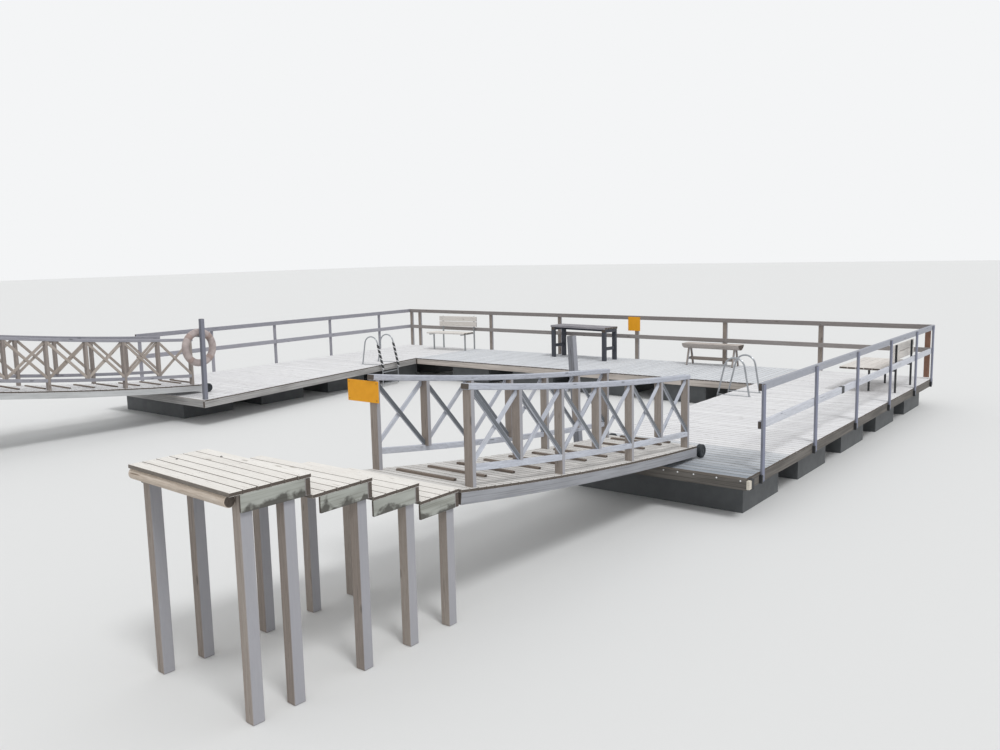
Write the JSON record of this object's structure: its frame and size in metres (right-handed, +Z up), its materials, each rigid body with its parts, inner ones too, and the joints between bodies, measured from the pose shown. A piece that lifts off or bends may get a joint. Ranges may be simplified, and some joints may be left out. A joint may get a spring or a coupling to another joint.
{
  "type": "floating wooden swimming jetty with gangways",
  "caption": "Floating wooden swimming jetty in a U shape round a basin, with post and rail edges, two hinged gangways with crossed braces, and stepped landings.",
  "frame": {"origin": "middle of the whole object's footprint, on the level under the floats and the step legs", "axes": "+X to the right along the back arm, +Y away from the shore, +Z up"},
  "size_m": [13.572, 14.9188, 1.9709],
  "materials": {
    "deck": "weathered",
    "frame": "weathered",
    "float": "matt",
    "post": "weathered",
    "rail": "weathered",
    "black_steel": "satin",
    "stainless": "satin",
    "ring": "faded",
    "plate": "satin",
    "dark_wood": "weathered",
    "log": "rough",
    "bench": "weathered",
    "gangway_deck": "weathered",
    "side_beam": "weathered",
    "brace": "weathered",
    "galvanised": "dull",
    "rubber": "matt",
    "step": "bleached",
    "step_side": "weathered"
  },
  "bodies": {
    "jetty": {"right_deck": "deck", "back_deck": "deck", "left_deck": "deck", "right_frame": "frame", "back_frame": "frame", "left_frame": "frame", "right_floats": "float", "back_floats": "float", "left_floats": "float", "right_rail_posts": "post", "back_rail_posts": "post", "left_rail_posts": "post", "right_rails": "rail", "back_rails": "rail", "left_rails": "rail", "post_shoes": "black_steel", "right_ladder": "stainless", "left_ladder": "stainless", "life_ring_post": "rail", "life_ring": "ring", "back_plate": "plate", "plain_post": "rail", "table": "dark_wood", "log_bench": "log", "back_bench": "bench", "side_bench": "bench", "right_hinge_lugs": "galvanised", "right_steps": "step", "right_step_sides": "step_side", "right_step_legs": "post", "left_hinge_lugs": "galvanised", "left_steps": "step", "left_step_sides": "step_side", "left_step_legs": "post", "step_logs": "log"},
    "right_gangway": {"right_gangway_deck": "gangway_deck", "right_gangway_beams": "side_beam", "right_gangway_uprights": "post", "right_gangway_handrails": "rail", "right_gangway_lower_rails": "rail", "right_gangway_braces": "brace", "right_wheel_brackets": "galvanised", "gangway_plate": "plate"},
    "right_wheels": {"right_gangway_wheels": "rubber"},
    "left_gangway": {"left_gangway_deck": "gangway_deck", "left_gangway_beams": "side_beam", "left_gangway_uprights": "post", "left_gangway_handrails": "rail", "left_gangway_lower_rails": "rail", "left_gangway_braces": "brace", "left_wheel_brackets": "galvanised"},
    "left_wheels": {"left_gangway_wheels": "rubber"}
  },
  "joints": [
    {"name": "right_gangway_hinge", "type": "hinge", "parent": "jetty", "child": "right_gangway", "pos_m": [5.295, -5.246, 1.042], "axis": [1, 0, 0], "range_deg": [0, 6]},
    {"name": "right_wheel_spin", "type": "hinge", "parent": "right_gangway", "child": "right_wheels", "pos_m": [5.295, -0.851, 0.585], "axis": [1, 0, 0], "continuous": true},
    {"name": "left_gangway_hinge", "type": "hinge", "parent": "jetty", "child": "left_gangway", "pos_m": [-4.835, -5.246, 1.042], "axis": [1, 0, 0], "range_deg": [0, 6]},
    {"name": "left_wheel_spin", "type": "hinge", "parent": "left_gangway", "child": "left_wheels", "pos_m": [-4.835, -0.851, 0.585], "axis": [1, 0, 0], "continuous": true}
  ]
}
